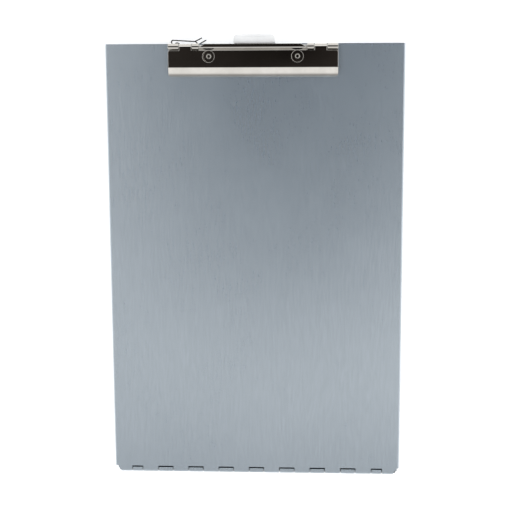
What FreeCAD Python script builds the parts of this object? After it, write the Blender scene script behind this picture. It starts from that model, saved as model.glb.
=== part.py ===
import FreeCAD, Part
import math
import os

# Storage clipboard, lying on its back. Millimetres. +Z is out of the writing face, +Y runs from the
# hinge edge to the clip, X is the width. The origin is the centre of the tray's flat back face.

Vector = FreeCAD.Vector

# Whole clipboard
board_length = 354.0            # hinge edge to the lid's top edge
lid_width = 237.2               # over the outside of the lid's side flanges
total_depth = 25.0              # tray's back face to the writing face
hinge_edge = -board_length / 2
top_edge = board_length / 2

# Aluminium sheet of the tray and the lid
sheet = 0.8
bend_radius = 0.8               # along the middle of the sheet
bend_outside = bend_radius + sheet / 2

# Lid hinge: knuckles rolled from both sheets round one wire pin
pin_radius = 0.7
running_gap = 0.05              # pin to knuckle, on the radius
curl_radius = pin_radius + running_gap + sheet / 2
barrel_radius = curl_radius + sheet / 2
curl_angle = 290.0
hinge_y = hinge_edge + barrel_radius
hinge_z = total_depth - barrel_radius
barrel_half = 113.8             # half the length of the lid's barrel
slot_pitch = 25.4
slot_width = 12.8
full_slots_each_side = 3
end_slot = (95.3, 104.6)        # from and to, off the middle
slot_depth = 5.1
knuckle_side_gap = 0.6
knuckle_flat = 1.5              # the tray's knuckles are flattened: their run past the pin
knuckle_fold = 0.5              # and the radius of the two folds at its end
swing_gap = 0.5

# Lid
lid_flange = 8.0
flange_foot = 5.2               # the side flanges end this far above the hinge edge
corner_slope_start = 4.6        # and the face slopes in to the barrel from here
corner_step = 1.2               # after a step in from the side bends

# Tray
side_gap = 0.6                  # lid flange to tray wall
rim_gap = 0.3                   # tray rim to the lid's underside
tray_half = lid_width / 2 - sheet - side_gap
tray_top_wall = top_edge - 1.0  # outer face of the wall under the clip
rim_z = total_depth - sheet - rim_gap
rim_return = 5.0                # inward flange along the tops of the side walls
corner_slit = 0.4               # side walls stop this far inside the end walls
tab_length = 13.0
tab_low = 3.0
tab_high = 19.0
corner_relief = (5.5, 19.5)     # the side walls step down beside the hinge: length, and height left

# Rivets at the tray's corners
corner_rivet_radius = 1.6
corner_rivet_head = 2.5
corner_rivet_dome = 0.9
corner_rivet_heights = (7.0, 14.0)
corner_rivet_inset = 7.0        # from the end of a side wall

# Clip, from the writing face up
clip_x = -1.0                   # the clip's middle, off the board's middle
clip_half = 67.0
base_sheet = 1.2
jaw_sheet = 0.9
clip_pin_radius = 1.35
clip_bore = clip_pin_radius + running_gap
base_curl = clip_bore + base_sheet / 2
jaw_curl = clip_bore + jaw_sheet / 2
base_barrel = base_curl + base_sheet / 2
clip_axis_y = top_edge - 2.4
clip_axis_z = total_depth + base_barrel
base_front = top_edge - 18.5
outer_knuckle = (58.6, clip_half)
jaw_tongue = (48.5, 58.1)
inner_knuckle = (42.7, 48.0)

# Clip jaw: plate, lip and lever
tongue_ease_radius = 4.0        # the tongues ease down before they wrap the pin
tongue_ease = 30.0
ease_reach = (tongue_ease_radius - jaw_curl) * math.sin(math.radians(tongue_ease))
ease_drop = (tongue_ease_radius - jaw_curl) * (1 - math.cos(math.radians(tongue_ease)))
jaw_mid_z = clip_axis_z + jaw_curl + ease_drop
jaw_gap = 0.3                   # jaw plate to the base plate's knuckles
jaw_back = clip_axis_y - base_barrel - jaw_gap
lip_crease = top_edge - 18.35
lip_slope = 17.0
lip_slope_length = 3.7
lip_radius = 6.2
lip_turn = 45.0
lip_corner = 2.4
lever_foot_half = 42.2
lever_top_half = 37.4
lever_shoulder = 2.6            # the lever's ends slope in over this much, below its top edge
lever_slope = 58.0
lever_straight = 2.3
lever_curl_radius = 0.95
lever_flange = 2.4
jaw_corner = 1.6
access_hole_radius = 4.6
rivet_spacing = 70.0
rivet_y = top_edge - 10.0

# Rivets that hold the clip
clip_rivet_radius = 1.6
clip_rivet_bore = 1.1
clip_rivet_roll = 0.55          # section radius of the rolled end
clip_rivet_head = 3.4
clip_rivet_head_thickness = 0.8
washer_radius = 4.6
washer_thickness = 0.8

# Torsion springs round the clip pin
spring_wire = 0.4               # wire radius
spring_clearance = 0.12         # coil to pin, on the radius
spring_turn_gap = 0.04
spring_coil = clip_pin_radius + spring_clearance + spring_wire
spring_pitch = 2 * spring_wire + spring_turn_gap
spring_turns = 11
spring_start = 6.0              # off the clip's middle
spring_front_tilt = 25.0        # how steeply the front leg leaves the coil
spring_elbow = (-3.2, -0.6)     # from the pin's axis, along Y and Z
spring_front_end = -8.0
spring_back_tilt = 40.0         # how far the back leg leans against the lever
spring_back_leg = 2.8

# Plastic latch on the tray's wall, under the clip
latch_width = 32.5
latch_thickness = 1.6
latch_foot_low = 4.0
latch_foot_high = 14.0
latch_web = 0.3                 # height of the thin living hinge between foot and tab
latch_foot_corner = 2.0
latch_lip_corner = 3.2
latch_knee_z = 18.5             # the tab leans out from here
latch_shoulder_z = 22.0         # and stands up again from here
latch_lid_gap = 0.35
latch_lip_z = total_depth + 3.2
latch_reach = 7.0               # how far the thumb lip stands past the lid's edge
latch_step = (1.8, 0.7)         # the thumb lip steps down this far from its end, by this much
latch_hook = 2.8                # height of the thumb lip's turned-down end
latch_edge = 0.5                # rounding along the moulded edges
latch_nose_radius = 0.7
latch_nose_length = 22.0
latch_nose_gap = 0.2
latch_rivet_spacing = 20.0
latch_rivet_z = 9.0
latch_rivet_radius = 1.5
latch_rivet_head = 2.8
latch_rivet_dome = 1.1

# Pen holder: a spring strip on the tray's wall, beside the latch
strip = 0.9
strip_low = 14.5
strip_high = 23.0
strip_loop = 1.5                # along the middle of the strip
strip_loop_x = -64.4
strip_loop_gap = 0.3            # loop to wall
strip_split = 0.4               # foot to loop
strip_foot_length = 11.5
strip_leaf_length = 17.0
strip_leaf_slope = 3.5          # the leaf closes towards the wall
fork_gap = 0.9
outer_prong = 6.2
outer_prong_turn = 30.0
inner_prong_dip = 2.6
inner_prong_dip_turn = 40.0
inner_prong = 6.6
inner_prong_turn = 72.0
prong_bend = 0.6
pen_rivet_x = -61.8
pen_rivet_radius = 1.2
pen_rivet_head = 2.3
pen_rivet_dome = 1.3

# Drawing planes: across the sheet, up the sheet, and the way it is extruded
SIDE = (Vector(0, 1, 0), Vector(0, 0, 1), Vector(1, 0, 0))
FRONT = (Vector(1, 0, 0), Vector(0, 0, 1), Vector(0, 1, 0))
PLAN = (Vector(1, 0, 0), Vector(0, 1, 0), Vector(0, 0, 1))


def in_plane(plane, point, height=0.0):
    across, up, out = plane
    return across * point[0] + up * point[1] + out * height


def step(point, heading, distance):
    turn = math.radians(heading)
    return (point[0] + distance * math.cos(turn), point[1] + distance * math.sin(turn))


def straight(length):
    return ("straight", length, 0.0)


def bend(radius, angle):
    """A bend along the middle of the sheet; a positive angle turns left."""
    return ("bend", radius, angle)


def through_corners(corners, radius):
    """The straights and bends of a sheet folded at each corner of a chain of points."""
    moves = []
    headings = []
    for here, there in zip(corners, corners[1:]):
        headings.append(math.degrees(math.atan2(there[1] - here[1], there[0] - here[0])))
    trimmed = 0.0
    for index, (here, there) in enumerate(zip(corners, corners[1:])):
        run = math.dist(here, there)
        if index + 1 < len(headings):
            turn = (headings[index + 1] - headings[index] + 180) % 360 - 180
            trim = radius * math.tan(math.radians(abs(turn) / 2))
            moves += [straight(run - trimmed - trim), bend(radius, turn)]
            trimmed = trim
        else:
            moves.append(straight(run - trimmed))
    return moves, headings[0]


def folded(plane, start, heading, moves, thickness, low, high):
    """A sheet that follows the moves from its start point, extruded from low to high."""
    half = thickness / 2
    point = start
    sides = {+1: [], -1: []}
    corner = {}
    for side in sides:
        corner[side] = step(point, heading + 90 * side, half)
    first = dict(corner)
    for kind, size, angle in moves:
        if kind == "straight":
            point = step(point, heading, size)
        else:
            way = math.copysign(1, angle)
            centre = step(point, heading + 90 * way, size)
        for side in sides:
            here = corner[side]
            if kind == "straight":
                there = step(point, heading + 90 * side, half)
                edge = Part.LineSegment(in_plane(plane, here, low), in_plane(plane, there, low))
            else:
                radius = size - way * side * half
                middle = step(centre, heading - 90 * way + angle / 2, radius)
                there = step(centre, heading - 90 * way + angle, radius)
                points = [in_plane(plane, p, low) for p in (here, middle, there)]
                edge = Part.Arc(*points)
            sides[side].append(edge.toShape())
            corner[side] = there
        if kind == "bend":
            point = step(centre, heading - 90 * way + angle, size)
            heading += angle
    ends = []
    for pair in (first, corner):
        ends.append(Part.makeLine(in_plane(plane, pair[1], low), in_plane(plane, pair[-1], low)))
    outline = Part.Wire(Part.__sortEdges__(sides[1] + sides[-1] + ends))
    return Part.Face(outline).extrude(plane[2] * (high - low))


def prism(plane, points, low, high):
    """A straight-sided block on an outline of points."""
    ring = [in_plane(plane, p, low) for p in points]
    return Part.Face(Part.makePolygon(ring + ring[:1])).extrude(plane[2] * (high - low))


def block(x, y, z):
    """A box from three (low, high) pairs."""
    size = [pair[1] - pair[0] for pair in (x, y, z)]
    return Part.makeBox(*size, Vector(x[0], y[0], z[0]))


def rod(radius, start, end):
    run = end - start
    return Part.makeCylinder(radius, run.Length, start, run)


def joined(shapes):
    return shapes[0].fuse(shapes[1:]).removeSplitter()


def both_sides(pair):
    """An interval off the middle, on the right and on the left."""
    return [pair, (-pair[1], -pair[0])]


def save(name, shape):
    shape.exportStep("parts/" + name + ".step")


def hinge_slots():
    """Intervals in X where the lid is slotted for a knuckle of the tray."""
    slots = []
    for number in range(-full_slots_each_side, full_slots_each_side + 1):
        middle = number * slot_pitch
        slots.append((middle - slot_width / 2, middle + slot_width / 2))
    return slots + both_sides(end_slot)


def lid_plate():
    half = (lid_width - sheet) / 2
    face = total_depth - sheet / 2
    foot = total_depth - lid_flange
    foot_y = hinge_edge + flange_foot
    slope_y = hinge_edge + corner_slope_start
    corners = [(-half, foot), (-half, face), (half, face), (half, foot)]
    moves, heading = through_corners(corners, bend_radius)
    plate = folded(FRONT, corners[0], heading, moves, sheet, foot_y, top_edge)
    rolled = [straight(foot_y - hinge_y), bend(curl_radius, curl_angle)]
    barrel = folded(SIDE, (foot_y, face), 180, rolled, sheet, -barrel_half, barrel_half)
    corner_x = lid_width / 2 - bend_outside - corner_step
    gusset = [(-corner_x, foot_y), (-corner_x, slope_y), (-barrel_half, hinge_y),
              (barrel_half, hinge_y), (corner_x, slope_y), (corner_x, foot_y)]
    lid = joined([plate, barrel, prism(PLAN, gusset, total_depth - sheet, total_depth)])
    for slot in hinge_slots():
        depth = (hinge_edge - 1, hinge_edge + slot_depth)
        lid = lid.cut(block(slot, depth, (hinge_z - 2 * barrel_radius, total_depth + 1)))
    for side in (-1, 1):
        place = Vector(clip_x + side * rivet_spacing / 2, rivet_y, 0)
        lid = lid.cut(Part.makeCylinder(clip_rivet_radius, 2 * total_depth, place))
    return lid


def end_wall(outer_y, outward, top, extra):
    """A wall folded up from the back, then the moves given as extra. outward is +1 or -1 in Y."""
    middle = outer_y - outward * sheet / 2
    width = tray_half - bend_outside - corner_slit
    start = (outer_y - outward * 2 * bend_outside, sheet / 2)
    run = abs(middle - start[0]) - bend_radius
    rise = top - sheet / 2 - bend_radius
    heading = 0 if outward > 0 else 180
    moves = [straight(run), bend(bend_radius, outward * 90), straight(rise)] + extra
    return folded(SIDE, start, heading, moves, sheet, -width, width)


def corner_tabs(outer_y, outward):
    """The end wall's two tabs, folded inside the side walls."""
    middle = outer_y - outward * sheet / 2
    tab_x = tray_half - 1.5 * sheet
    tip_y = outer_y - outward * tab_length
    tabs = []
    for side in (-1, 1):
        corners = [(side * (tab_x - 3 * bend_radius), middle), (side * tab_x, middle), (side * tab_x, tip_y)]
        moves, heading = through_corners(corners, bend_radius)
        tabs.append(folded(PLAN, corners[0], heading, moves, sheet, tab_low, tab_high))
    return tabs


def corner_rivet_places():
    ends = (hinge_edge + sheet + corner_slit, tray_top_wall - sheet - corner_slit)
    rows = (ends[0] + corner_rivet_inset, ends[1] - corner_rivet_inset)
    return [(side, y, z) for side in (-1, 1) for y in rows for z in corner_rivet_heights]


def tray():
    half = tray_half - sheet / 2
    floor = sheet / 2
    rim = rim_z - sheet / 2
    inner = tray_half - rim_return
    low_y = hinge_edge + sheet + corner_slit
    high_y = tray_top_wall - sheet - corner_slit
    corners = [(-inner, rim), (-half, rim), (-half, floor), (half, floor), (half, rim), (inner, rim)]
    moves, heading = through_corners(corners, bend_radius)
    body = folded(FRONT, corners[0], heading, moves, sheet, low_y, high_y)
    top = end_wall(tray_top_wall, 1, rim_z, [])
    fold_run = 2 * (curl_radius - knuckle_fold)
    knuckle = [bend(curl_radius, -90), straight(knuckle_flat), bend(knuckle_fold, -90), straight(fold_run),
               bend(knuckle_fold, -90), straight(knuckle_flat)]
    hinge = end_wall(hinge_edge, -1, hinge_z, knuckle)
    body = joined([body, top, hinge] + corner_tabs(tray_top_wall, 1) + corner_tabs(hinge_edge, -1))
    knuckles = sorted((a + knuckle_side_gap, b - knuckle_side_gap) for a, b in hinge_slots())
    edges = [-tray_half] + [x for pair in knuckles for x in pair] + [tray_half]
    gap_z = (hinge_z - barrel_radius - swing_gap, total_depth)
    gap_y = (hinge_edge - 1, hinge_y + knuckle_flat + barrel_radius + swing_gap)
    for gap in zip(edges[0::2], edges[1::2]):
        body = body.cut(block(gap, gap_y, gap_z))
    relief_length, relief_z = corner_relief
    for corner in both_sides((tray_half - rim_return - 1, tray_half + 1)):
        body = body.cut(block(corner, (hinge_edge + sheet, hinge_edge + relief_length), (relief_z, total_depth)))
    for side, y, z in corner_rivet_places():
        out = Vector(side * (tray_half + 1), y, z)
        body = body.cut(rod(corner_rivet_radius, Vector(side * (tray_half - 4 * sheet), y, z), out))
    for x, z, radius in wall_rivets():
        through = rod(radius, Vector(x, tray_top_wall - 2 * sheet, z), Vector(x, tray_top_wall + 1, z))
        body = body.cut(through)
    return body


def wall_rivets():
    """Places and radii of the holes in the wall under the clip."""
    half = latch_rivet_spacing / 2
    latch = [(side * half, latch_rivet_z, latch_rivet_radius) for side in (-1, 1)]
    return latch + [(pen_rivet_x, pen_rivet_z(), pen_rivet_radius)]


def pen_rivet_z():
    return (strip_low + strip_high) / 2


def domed_rivet(shank, head, dome, grip, place, outward):
    """A rivet with a low domed head outside and a flat upset end inside. place is on the outer face."""
    ball = (head ** 2 + dome ** 2) / (2 * dome)
    cap = Part.makeSphere(ball, Vector(0, 0, dome - ball))
    cap = cap.common(Part.makeCylinder(head, dome + 1))
    upset_radius = (shank + head) / 2
    upset = Part.makeCylinder(upset_radius, dome * 0.6, Vector(0, 0, -grip - dome * 0.6))
    upset = upset.makeChamfer(dome * 0.2, [upset.Edges[2]])
    rivet = joined([cap, Part.makeCylinder(shank, grip, Vector(0, 0, -grip)), upset])
    rivet.Placement = FreeCAD.Placement(place, FreeCAD.Rotation(Vector(0, 0, 1), outward))
    return rivet


def tray_corner_rivets():
    rivets = []
    for side, y, z in corner_rivet_places():
        place = Vector(side * tray_half, y, z)
        rivets.append(domed_rivet(corner_rivet_radius, corner_rivet_head, corner_rivet_dome,
                                  2 * sheet, place, Vector(side, 0, 0)))
    return Part.makeCompound(rivets)


def rounded_pin(radius, half, middle, y, z):
    """A wire pin along X with softened ends."""
    pin = rod(radius, Vector(middle - half, y, z), Vector(middle + half, y, z))
    rims = [edge for edge in pin.Edges if edge.Closed]
    return pin.makeFillet(radius * 0.4, rims)


def clip_base_plate():
    start = (base_front, total_depth + base_sheet / 2)
    moves = [straight(clip_axis_y - base_front), bend(base_curl, curl_angle)]
    plate = folded(SIDE, start, 0, moves, base_sheet, -clip_half, clip_half)
    roof = total_depth + 3 * base_barrel
    clear_y = (jaw_back, top_edge + 1)
    gaps = [(-inner_knuckle[0], inner_knuckle[0])]
    gaps += both_sides((inner_knuckle[1], outer_knuckle[0]))
    for gap in gaps:
        plate = plate.cut(block(gap, clear_y, (total_depth - 1, roof)))
    for side in (-1, 1):
        place = Vector(side * rivet_spacing / 2, rivet_y, total_depth - 1)
        plate = plate.cut(Part.makeCylinder(clip_rivet_radius, 2 * base_barrel, place))
    plate.translate(Vector(clip_x, 0, 0))
    return plate


def jaw_lever():
    start = (jaw_back, jaw_mid_z)
    moves = [bend(jaw_sheet, lever_slope), straight(lever_straight),
             bend(lever_curl_radius, -lever_slope), straight(lever_flange)]
    lever = folded(SIDE, start, 0, moves, jaw_sheet, -lever_foot_half, lever_foot_half)
    tip_y = lever.BoundBox.YMax
    shoulder_y = tip_y - lever_shoulder
    outline = [(-lever_foot_half, start[0]), (-lever_foot_half, shoulder_y), (-lever_top_half, tip_y),
               (lever_top_half, tip_y), (lever_foot_half, shoulder_y), (lever_foot_half, start[0])]
    return lever.common(prism(PLAN, outline, total_depth, 2 * total_depth))


def rounding(x, y, side, inward, radius):
    """What rounding one corner of a plate takes away. side and inward say which way the corner faces."""
    centre = Vector(x - side * radius, y + inward * radius, 0)
    span_x = sorted((centre.x, x + side))
    span_y = sorted((centre.y, y - inward))
    return block(span_x, span_y, (0, 2 * total_depth)).cut(Part.makeCylinder(radius, 2 * total_depth, centre))


def clip_jaw():
    moves = [straight(jaw_back - lip_crease), bend(jaw_sheet, lip_slope), straight(lip_slope_length),
             bend(lip_radius, lip_turn)]
    plate = folded(SIDE, (jaw_back, jaw_mid_z), 180, moves, jaw_sheet, -clip_half, clip_half)
    front = plate.BoundBox.YMin
    for side in (-1, 1):
        place = Vector(side * rivet_spacing / 2, rivet_y, 0)
        plate = plate.cut(Part.makeCylinder(access_hole_radius, 2 * total_depth, place))
        plate = plate.cut(rounding(side * clip_half, jaw_back, side, -1, jaw_corner))
        plate = plate.cut(rounding(side * clip_half, front, side, 1, lip_corner))
    tongues = []
    for interval in both_sides(jaw_tongue):
        rolled = [straight(clip_axis_y - ease_reach - jaw_back + 1), bend(tongue_ease_radius, -tongue_ease),
                  bend(jaw_curl, tongue_ease - curl_angle)]
        tongues.append(folded(SIDE, (jaw_back - 1, jaw_mid_z), 0, rolled, jaw_sheet, *interval))
    jaw = joined([plate, jaw_lever()] + tongues)
    jaw.translate(Vector(clip_x, 0, 0))
    return jaw


def clip_rivets():
    """Tubular rivets: flat head under the lid, hollow rolled end on the base plate."""
    head_z = total_depth - sheet - washer_thickness
    top_z = total_depth + base_sheet
    rivets = []
    for side in (-1, 1):
        x = clip_x + side * rivet_spacing / 2
        head = Part.makeCylinder(clip_rivet_head, clip_rivet_head_thickness,
                                 Vector(x, rivet_y, head_z - clip_rivet_head_thickness))
        head = head.makeFillet(clip_rivet_head_thickness * 0.4, [head.Edges[2]])
        shank = Part.makeCylinder(clip_rivet_radius, top_z + clip_rivet_roll - head_z,
                                  Vector(x, rivet_y, head_z))
        roll = Part.makeTorus(clip_rivet_radius, clip_rivet_roll,
                              Vector(x, rivet_y, top_z + clip_rivet_roll))
        rivet = joined([head, shank, roll])
        hollow = Part.makeCylinder(clip_rivet_bore, total_depth, Vector(x, rivet_y, total_depth))
        rivets.append(rivet.cut(hollow))
    return Part.makeCompound(rivets)


def clip_rivet_washers():
    washers = []
    for side in (-1, 1):
        place = Vector(clip_x + side * rivet_spacing / 2, rivet_y, total_depth - sheet - washer_thickness)
        disc = Part.makeCylinder(washer_radius, washer_thickness, place)
        disc = disc.makeChamfer(washer_thickness * 0.25, [disc.Edges[2]])
        washers.append(disc.cut(Part.makeCylinder(clip_rivet_radius, washer_thickness, place)))
    return Part.makeCompound(washers)


def clip_spring(side):
    """A torsion spring: one leg forward on the base plate, the other up against the lever's back.

    It is wound round Z, with X as the clipboard's Y and Y as its Z, and then turned into place.
    """
    first = -90 - spring_front_tilt
    last = spring_back_tilt
    length = (spring_turns + (last - first) / 360) * spring_pitch
    start = Vector(*step((0, 0), first, spring_coil))
    elbow = Vector(*spring_elbow)
    tip = Vector(spring_front_end, spring_elbow[1])
    end = Vector(*step((0, 0), last, spring_coil), length)
    top = end + Vector(*step((0, 0), last + 90, spring_back_leg))
    helix = Part.makeHelix(spring_pitch, length, spring_coil)
    helix.rotate(Vector(), Vector(0, 0, 1), first)
    rise = spring_pitch / (2 * math.pi * spring_coil)
    along = Vector(*step((0, 0), first + 90, 1), rise)
    section = Part.Wire(Part.makeCircle(spring_wire, start, along))
    coil = Part.Wire(helix.Edges).makePipeShell([section], True, True)
    legs = [rod(spring_wire, start, elbow), rod(spring_wire, elbow, tip), rod(spring_wire, end, top)]
    balls = [Part.makeSphere(spring_wire, point) for point in (elbow, tip, top)]
    front = joined(legs[:2] + balls[:2])
    back = joined(legs[2:] + balls[2:])
    spring = coil.fuse([front, back])
    spring.rotate(Vector(), Vector(1, 1, 1), 120)
    spring.translate(Vector(spring_start, clip_axis_y, clip_axis_z))
    if side < 0:
        spring = spring.mirror(Vector(), Vector(1, 0, 0))
    spring.translate(Vector(clip_x, 0, 0))
    return spring


def latch_foot():
    half = latch_width / 2
    foot = block((-half, half), (tray_top_wall, tray_top_wall + latch_thickness),
                 (latch_foot_low, latch_foot_high))
    low_corners = []
    for edge in foot.Edges:
        box = edge.BoundBox
        if box.YLength > latch_thickness / 2 and box.ZMax < latch_foot_low + 1:
            low_corners.append(edge)
    foot = foot.makeFillet(latch_foot_corner, low_corners)
    for side in (-1, 1):
        place = Vector(side * latch_rivet_spacing / 2, tray_top_wall - 1, latch_rivet_z)
        foot = foot.cut(rod(latch_rivet_radius, place, place + Vector(0, 2 * latch_thickness, 0)))
    return foot


def latch_tab():
    """Up from the living hinge, out round the lid's edge, and over into a stepped thumb lip."""
    half = latch_width / 2
    wall = latch_thickness
    low = latch_foot_high + latch_web
    inner = tray_top_wall
    outer = top_edge + latch_lid_gap
    tip = top_edge + latch_reach
    step_y = tip - latch_step[0]
    ledge_z = latch_lip_z - latch_step[1]
    profile = [(inner, low), (inner, latch_knee_z), (outer, latch_shoulder_z), (outer, latch_lip_z),
               (step_y, latch_lip_z), (step_y, ledge_z), (tip, ledge_z), (tip, ledge_z - latch_hook),
               (tip - wall, ledge_z - latch_hook), (tip - wall, latch_lip_z - wall),
               (outer + wall, latch_lip_z - wall), (outer + wall, latch_shoulder_z),
               (inner + wall, latch_knee_z), (inner + wall, low)]
    tab = prism(SIDE, profile, -half, half)
    softened = [(step_y, latch_lip_z), (tip, ledge_z)]
    long_edges = []
    for edge in tab.Edges:
        middle = edge.BoundBox.Center
        if any(math.dist((middle.y, middle.z), corner) < latch_edge / 2 for corner in softened):
            long_edges.append(edge)
    tab = tab.makeFillet(latch_edge, long_edges)
    for side in (-1, 1):
        tab = tab.cut(rounding(side * half, tip, side, -1, latch_lip_corner))
    nose_y = top_edge + latch_nose_gap + latch_nose_radius
    nose_z = total_depth + latch_nose_radius + latch_nose_gap
    nose = rod(latch_nose_radius, Vector(-latch_nose_length / 2, nose_y, nose_z),
               Vector(latch_nose_length / 2, nose_y, nose_z))
    return joined([tab, nose])


def latch_rivets():
    rivets = []
    for side in (-1, 1):
        place = Vector(side * latch_rivet_spacing / 2, tray_top_wall + latch_thickness, latch_rivet_z)
        rivets.append(domed_rivet(latch_rivet_radius, latch_rivet_head, latch_rivet_dome,
                                  latch_thickness + sheet, place, Vector(0, 1, 0)))
    return Part.makeCompound(rivets)


def pen_holder_foot():
    start = strip_loop_x + strip_split
    wall = (tray_top_wall, tray_top_wall + strip)
    foot = block((start, start + strip_foot_length), wall, (strip_low, strip_high))
    hole = Vector(pen_rivet_x, tray_top_wall - 1, pen_rivet_z())
    return foot.cut(rod(pen_rivet_radius, hole, hole + Vector(0, 2 + strip, 0)))


def pen_holder_rivet():
    place = Vector(pen_rivet_x, tray_top_wall + strip, pen_rivet_z())
    return domed_rivet(pen_rivet_radius, pen_rivet_head, pen_rivet_dome, strip + sheet, place,
                       Vector(0, 1, 0))


def pen_holder_leaf():
    """The sprung half of the strip: loop, straight leaf, and two flared prongs."""
    low_y = tray_top_wall + strip_loop_gap + strip / 2
    start = (strip_loop_x, low_y)
    to_tip = [bend(strip_loop, -180 - strip_leaf_slope), straight(strip_leaf_length)]
    out = [bend(prong_bend, outer_prong_turn), straight(outer_prong)]
    dip = [bend(prong_bend, -inner_prong_dip_turn), straight(inner_prong_dip),
           bend(prong_bend, inner_prong_turn), straight(inner_prong)]
    middle = pen_rivet_z()
    shared = folded(PLAN, start, 180, to_tip, strip, strip_low, strip_high)
    upper = folded(PLAN, start, 180, to_tip + out, strip, middle + fork_gap / 2, strip_high)
    lower = folded(PLAN, start, 180, to_tip + dip, strip, strip_low, middle - fork_gap / 2)
    return joined([shared, upper, lower])


def main():
    os.makedirs("parts", exist_ok=True)
    save("tray", tray())
    save("tray_corner_rivets", tray_corner_rivets())
    save("lid_hinge_pin", rounded_pin(pin_radius, barrel_half, 0, hinge_y, hinge_z))
    save("latch_foot", latch_foot())
    save("latch_tab", latch_tab())
    save("latch_rivets", latch_rivets())
    save("pen_holder_foot", pen_holder_foot())
    save("pen_holder_leaf", pen_holder_leaf())
    save("pen_holder_rivet", pen_holder_rivet())
    save("lid_plate", lid_plate())
    save("clip_base_plate", clip_base_plate())
    save("clip_pin", rounded_pin(clip_pin_radius, clip_half, clip_x, clip_axis_y, clip_axis_z))
    save("clip_rivets", clip_rivets())
    save("clip_rivet_washers", clip_rivet_washers())
    save("clip_jaw", clip_jaw())
    save("clip_spring_left", clip_spring(-1))
    save("clip_spring_right", clip_spring(1))


main()
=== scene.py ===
import math

import bpy
from mathutils import Matrix, Vector

# Storage clipboard lying on its back on a pale floor, lit as in a white studio. Metres.
# +Z is out of the writing face, +Y runs from the hinge edge to the clip.

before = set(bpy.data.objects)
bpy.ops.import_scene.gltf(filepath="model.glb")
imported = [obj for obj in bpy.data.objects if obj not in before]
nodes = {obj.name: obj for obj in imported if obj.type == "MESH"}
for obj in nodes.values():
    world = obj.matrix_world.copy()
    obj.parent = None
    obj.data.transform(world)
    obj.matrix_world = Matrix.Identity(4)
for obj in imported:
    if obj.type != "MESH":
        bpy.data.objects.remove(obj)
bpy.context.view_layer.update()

# Camera: where it stands, and the way it looks
camera_place = Vector((0.0519, 0.1694, 0.9767))
camera_look = Vector((-0.0519, -0.1690, -0.9843))
camera_roll = -0.27             # degrees
camera_lens = 83.3              # mm, on a 36 mm sensor

# Studio: how bright the surroundings are at each angle off the studio's axis, towards the
# front (-Y), the back, the left (-X) and the right. Overhead it is dark, as around a camera.
studio_axis = Vector((-0.02, 0.0, 1.0))
studio_rings = [
    (0, 0.01, 0.01, 0.01, 0.01),
    (7, 0.18, 0.03, 0.03, 0.06),
    (9, 0.21, 0.03, 0.75, 0.32),
    (12, 0.38, 0.02, 0.60, 0.60),
    (16, 0.80, 0.03, 0.55, 1.00),
    (20, 0.43, 0.03, 0.83, 1.30),
    (24, 0.10, 0.03, 1.05, 1.40),
    (28, 0.36, 0.06, 1.10, 1.30),
    (34, 1.00, 1.10, 1.05, 1.10),
    (50, 0.90, 1.10, 1.00, 1.00),
    (65, 0.50, 0.75, 0.75, 0.75),
    (90, 0.28, 0.36, 0.38, 0.38),
]
# Where the dark gap overhead ends towards the front, the back, the left and the right
overhead_gap = [("Y", 0.08, 0.12), ("Y", 0.55, 0.50), ("X", -0.17, -0.14), ("X", 0.17, 0.14)]
gap_brightness = 0.03           # inside it, as a share of the surroundings
gap_tint = (1.0, 0.86, 0.78)    # what little light the gap gives is warm

# Soft light overhead, and the floor
fill_power = 12.0
fill_height = 1.4
fill_width = 1.6
floor_size = 60.0
floor_drop = 0.00005            # keeps the floor clear of the tray's back

# How far each sheet part's cut edges are rounded. Edges shorter than the weld distance are closed
# first, and shallow bends are left alone, or the rounding throws points off the surface.
edge_rounding = {"clip_jaw": 0.00025, "clip_base_plate": 0.0002, "lid_plate": 0.00012, "tray": 0.00007}
weld_distance = 0.0001
flat_angle = 0.5                # degrees: facets closer than this to one plane are joined
edge_angle = 60.0               # degrees: only edges sharper than this are rounded

# A mix node's two input sockets and its output socket, by the kind of value it mixes
MIX_SOCKETS = {"FLOAT": ((2, 3), 0), "VECTOR": ((4, 5), 1), "RGBA": ((6, 7), 2)}


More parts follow.
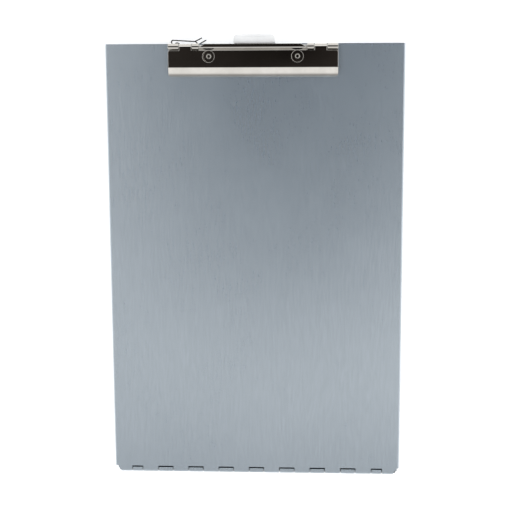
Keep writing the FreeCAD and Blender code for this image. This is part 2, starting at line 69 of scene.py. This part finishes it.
class Nodes:
    """A node tree being built: each call adds a node, sets its inputs and returns it."""

    def __init__(self, tree):
        self.tree = tree
        tree.nodes.clear()

    def add(self, kind, inputs=(), **settings):
        node = self.tree.nodes.new(kind)
        for name, value in settings.items():
            setattr(node, name, value)
        for name, value in dict(inputs).items():
            socket = node.inputs[name]
            if isinstance(value, bpy.types.NodeSocket):
                self.tree.links.new(value, socket)
            else:
                socket.default_value = value
        return node

    def maths(self, operation, *values):
        node = self.add("ShaderNodeMath", enumerate(values), operation=operation)
        return node.outputs[0]

    def mixed(self, amount, first, second, kind="FLOAT"):
        """first to second as the amount goes from 0 to 1."""
        inputs, output = MIX_SOCKETS[kind]
        node = self.add("ShaderNodeMix", {0: amount, inputs[0]: first, inputs[1]: second}, data_type=kind)
        return node.outputs[output]

    def stretched(self, coordinates, scale):
        """Coordinates multiplied by a scale along each axis."""
        node = self.add("ShaderNodeMapping", {"Vector": coordinates, "Scale": scale})
        return node.outputs[0]

    def noise(self, coordinates, scale, detail=3.0, roughness=0.55):
        node = self.add("ShaderNodeTexNoise", {"Vector": coordinates, "Scale": scale, "Detail": detail,
                                               "Roughness": roughness})
        return node.outputs["Fac"]

    def between(self, amount, low, high):
        """low to high as the amount goes from 0 to 1."""
        node = self.add("ShaderNodeMapRange", {"Value": amount, "To Min": low, "To Max": high})
        return node.outputs[0]

    def shade(self, amount, dark, light, start=0.0, end=1.0):
        """A colour from dark to light as the amount goes from start to end."""
        node = self.add("ShaderNodeValToRGB", {"Fac": amount})
        stops = node.color_ramp.elements
        for stop, place, colour in zip(stops, (start, end), (dark, light)):
            stop.position = place
            stop.color = (*colour, 1.0)
        return node.outputs["Color"]

    def bump(self, height, distance, strength=1.0, below=None):
        inputs = {"Height": height, "Distance": distance, "Strength": strength}
        if below is not None:
            inputs["Normal"] = below
        return self.add("ShaderNodeBump", inputs).outputs[0]


def new_material(name):
    material = bpy.data.materials.new(name)
    material.use_nodes = True
    return material, Nodes(material.node_tree)


def finished(tree, shader):
    tree.add("ShaderNodeOutputMaterial", {"Surface": shader.outputs[0]})


def brushed_aluminium():
    """Anodised sheet with a fine grain along the board: a soft mirror under a bluish satin haze."""
    material, tree = new_material("brushed_aluminium")
    place = tree.add("ShaderNodeTexCoord")
    at = place.outputs["Object"]
    way = tree.add("ShaderNodeSeparateXYZ", {"Vector": place.outputs["Normal"]})
    on_end = tree.maths("GREATER_THAN", tree.maths("ABSOLUTE", way.outputs["Y"]), 0.7)
    lengthwise = tree.stretched(at, (1.0, 0.12, 1.0))
    upwards = tree.stretched(at, (1.0, 1.0, 0.12))
    drawn = tree.mixed(on_end, lengthwise, upwards, "VECTOR")
    grain = tree.noise(drawn, 900.0, 3.0, 0.6)
    fine = tree.noise(drawn, 3200.0, 2.0)
    cloud = tree.noise(at, 22.0, 3.0)
    tone = tree.mixed(0.3, grain, cloud)
    wear = tree.mixed(0.4, fine, cloud)
    normal = tree.bump(fine, 0.000003, 0.5, tree.bump(grain, 0.00002))
    crosswise = tree.add("ShaderNodeVectorTransform", {"Vector": (1.0, 0.0, 0.02)}, vector_type="VECTOR",
                         convert_from="OBJECT", convert_to="WORLD").outputs[0]
    mirror = tree.add("ShaderNodeBsdfPrincipled", {
        "Base Color": tree.shade(tone, (0.62, 0.665, 0.68), (0.70, 0.745, 0.76), 0.3, 0.7),
        "Metallic": 1.0, "Roughness": tree.between(wear, 0.16, 0.24),
        "Anisotropic": 0.3, "Tangent": crosswise, "Normal": normal})
    satin = tree.add("ShaderNodeBsdfPrincipled", {
        "Base Color": tree.shade(tone, (0.51, 0.665, 0.85), (0.58, 0.735, 0.92), 0.3, 0.7),
        "Metallic": 1.0, "Roughness": tree.between(wear, 0.45, 0.55), "Normal": normal})
    shader = tree.add("ShaderNodeMixShader", {0: 0.25, 1: mirror.outputs[0], 2: satin.outputs[0]})
    finished(tree, shader)
    return material


def bright_metal(name, dark, light, smooth, rough, ripple):
    """Plated or drawn metal: handling haze, hair scratches and a slight ripple in the reflections."""
    material, tree = new_material(name)
    at = tree.add("ShaderNodeTexCoord").outputs["Object"]
    haze = tree.noise(at, 90.0, 4.0)
    lines = tree.noise(tree.stretched(at, (0.05, 1.0, 1.0)), 2600.0, 2.0)
    colour = tree.shade(haze, dark, light, 0.35, 0.7)
    worn = tree.mixed(0.35, haze, lines)
    wave = tree.bump(tree.noise(at, 60.0, 1.0), ripple)
    normal = tree.bump(lines, 0.000004, 0.4, wave)
    shader = tree.add("ShaderNodeBsdfPrincipled", {
        "Base Color": colour, "Metallic": 1.0,
        "Roughness": tree.between(worn, smooth, rough), "Normal": normal})
    finished(tree, shader)
    return material


def white_plastic():
    """Moulded polypropylene: milky, softly glossy, faintly pebbled."""
    material, tree = new_material("white_plastic")
    at = tree.add("ShaderNodeTexCoord").outputs["Object"]
    cloud = tree.noise(at, 160.0, 3.0)
    pebble = tree.noise(at, 2400.0, 2.0)
    colour = tree.shade(cloud, (0.74, 0.75, 0.76), (0.80, 0.81, 0.82), 0.3, 0.7)
    shader = tree.add("ShaderNodeBsdfPrincipled", {
        "Base Color": colour, "Roughness": tree.between(pebble, 0.32, 0.48),
        "Subsurface Weight": 0.25, "Subsurface Radius": (1.0, 1.0, 1.0), "Subsurface Scale": 0.0015,
        "Normal": tree.bump(pebble, 0.00001, 0.5)})
    finished(tree, shader)
    return material


def pale_floor():
    material, tree = new_material("pale_floor")
    at = tree.add("ShaderNodeTexCoord").outputs["Object"]
    colour = tree.shade(tree.noise(at, 3.0), (0.86, 0.86, 0.86), (0.88, 0.88, 0.88))
    shader = tree.add("ShaderNodeBsdfPrincipled", {
        "Base Color": colour, "Roughness": 0.9, "Specular IOR Level": 0.1,
        "Emission Color": (1.0, 1.0, 1.0, 1.0), "Emission Strength": 0.3})
    finished(tree, shader)
    return material


# Each bright metal's darker and lighter tone, its lowest and highest roughness, and how high the
# ripple in its surface is
bright_metals = {
    "bright_nickel": ((0.70, 0.675, 0.63), (0.79, 0.765, 0.72), 0.02, 0.05, 0.00002),
    "steel_wire": ((0.52, 0.51, 0.50), (0.64, 0.63, 0.61), 0.16, 0.34, 0.00001),
    "spring_steel": ((0.56, 0.55, 0.53), (0.68, 0.67, 0.64), 0.03, 0.09, 0.00002),
    "aluminium_rivet": ((0.62, 0.63, 0.64), (0.74, 0.75, 0.76), 0.2, 0.36, 0.00002),
    # dark_rivet's near-black tone is painted shade: it stands in for the shadow inside the pen-holder
    # strip's loop
    "dark_rivet": ((0.10, 0.095, 0.09), (0.17, 0.16, 0.15), 0.2, 0.35, 0.00002),
    "plated_rivet": ((0.60, 0.58, 0.54), (0.72, 0.70, 0.66), 0.03, 0.09, 0.00002),
}
materials = {"brushed_aluminium": brushed_aluminium(), "white_plastic": white_plastic()}
for slot, recipe in bright_metals.items():
    materials[slot] = bright_metal(slot, *recipe)


def dress(piece, slot):
    piece.data.materials.clear()
    piece.data.materials.append(materials[slot])


def dress_cad_nodes():
    for node in nodes.values():
        dress(node, node.data.materials[0].name)


def soften_edges(node, width):
    """Round a sheet part's cut edges a little, so that they catch the light."""
    weld = node.modifiers.new("weld", "WELD")
    weld.merge_threshold = weld_distance
    flat = node.modifiers.new("flat", "DECIMATE")
    flat.decimate_type = "DISSOLVE"
    flat.angle_limit = math.radians(flat_angle)
    bevel = node.modifiers.new("bevel", "BEVEL")
    bevel.width = width
    bevel.segments = 2
    bevel.limit_method = "ANGLE"
    bevel.angle_limit = math.radians(edge_angle)
    bevel.use_clamp_overlap = False
    even = node.modifiers.new("even", "WEIGHTED_NORMAL")
    even.weight = 50


def floor():
    half = floor_size / 2
    mesh = bpy.data.meshes.new("floor")
    corners = [(-half, -half, 0), (half, -half, 0), (half, half, 0), (-half, half, 0)]
    mesh.from_pydata(corners, [], [(0, 1, 2, 3)])
    plane = bpy.data.objects.new("floor", mesh)
    plane.location.z = -floor_drop
    bpy.context.scene.collection.objects.link(plane)
    mesh.materials.append(pale_floor())


def studio():
    """The surroundings, seen only as the light on the board and in its metal."""
    world = bpy.data.worlds.new("studio")
    bpy.context.scene.world = world
    world.use_nodes = True
    tree = Nodes(world.node_tree)
    way = tree.add("ShaderNodeTexCoord").outputs["Generated"]
    axis = studio_axis.normalized()
    off_axis = tree.add("ShaderNodeVectorMath", {0: way, 1: axis}, operation="DOT_PRODUCT").outputs["Value"]
    angle = tree.maths("ARCCOSINE", off_axis)
    along = tree.add("ShaderNodeVectorMath", {0: axis, "Scale": off_axis}, operation="SCALE").outputs[0]
    sideways = tree.add("ShaderNodeVectorMath", {0: way, 1: along}, operation="SUBTRACT").outputs[0]
    heading = tree.add("ShaderNodeVectorMath", {0: sideways}, operation="NORMALIZE").outputs[0]
    parts = tree.add("ShaderNodeSeparateXYZ", {"Vector": heading})
    sides = [("Y", -1.0), ("Y", 1.0), ("X", -1.0), ("X", 1.0)]
    brightness = 0.0
    for column, (part, sign) in enumerate(sides, start=1):
        facing = tree.maths("MAXIMUM", tree.maths("MULTIPLY", parts.outputs[part], sign), 0.0)
        share = tree.maths("POWER", facing, 2.0)
        ramp = tree.add("ShaderNodeValToRGB", {"Fac": tree.maths("DIVIDE", angle, math.pi)})
        stops = ramp.color_ramp.elements
        while len(stops) < len(studio_rings):
            stops.new(1.0)
        for stop, ring in zip(stops, studio_rings):
            stop.position = ring[0] / 180
            stop.color = (ring[column], ring[column], ring[column], 1.0)
        brightness = tree.maths("MULTIPLY_ADD", share, ramp.outputs["Color"], brightness)
    place = tree.add("ShaderNodeSeparateXYZ", {"Vector": way})
    gap = 1.0
    for part, start, end in overhead_gap:
        edge = tree.add("ShaderNodeMapRange", {"Value": place.outputs[part],
                                               "From Min": start, "From Max": end})
        gap = tree.maths("MULTIPLY", gap, edge.outputs[0])
    brightness = tree.maths("MULTIPLY", brightness, tree.between(gap, 1.0, gap_brightness))
    tint = tree.shade(brightness, gap_tint, (1.0, 1.0, 1.0), 0.02, 0.2)
    light = tree.add("ShaderNodeBackground", {"Color": tint, "Strength": brightness})
    tree.add("ShaderNodeOutputWorld", {"Surface": light.outputs[0]})


def fill_light():
    """A soft light overhead that brightens the floor and the plastic and isn't mirrored in the metal."""
    lamp = bpy.data.lights.new("fill", "AREA")
    lamp.energy = fill_power
    lamp.size = fill_width
    holder = bpy.data.objects.new("fill", lamp)
    holder.location = (0.0, 0.0, fill_height)
    holder.visible_glossy = False
    bpy.context.scene.collection.objects.link(holder)


def camera():
    lens = bpy.data.cameras.new("camera")
    lens.lens = camera_lens
    lens.sensor_width = 36.0
    lens.clip_start = 0.01
    lens.clip_end = 50.0
    holder = bpy.data.objects.new("camera", lens)
    back = -camera_look.normalized()
    across = Vector((0.0, 1.0, 0.0)).cross(back).normalized()
    upright = back.cross(across)
    turn = Matrix((across, upright, back)).transposed() @ Matrix.Rotation(math.radians(camera_roll), 3, "Z")
    holder.matrix_world = Matrix.Translation(camera_place) @ turn.to_4x4()
    bpy.context.scene.collection.objects.link(holder)
    bpy.context.scene.camera = holder


dress_cad_nodes()
for name, width in edge_rounding.items():
    soften_edges(nodes[name], width)
floor()
studio()
fill_light()
camera()
bpy.context.scene.view_settings.view_transform = "Standard"
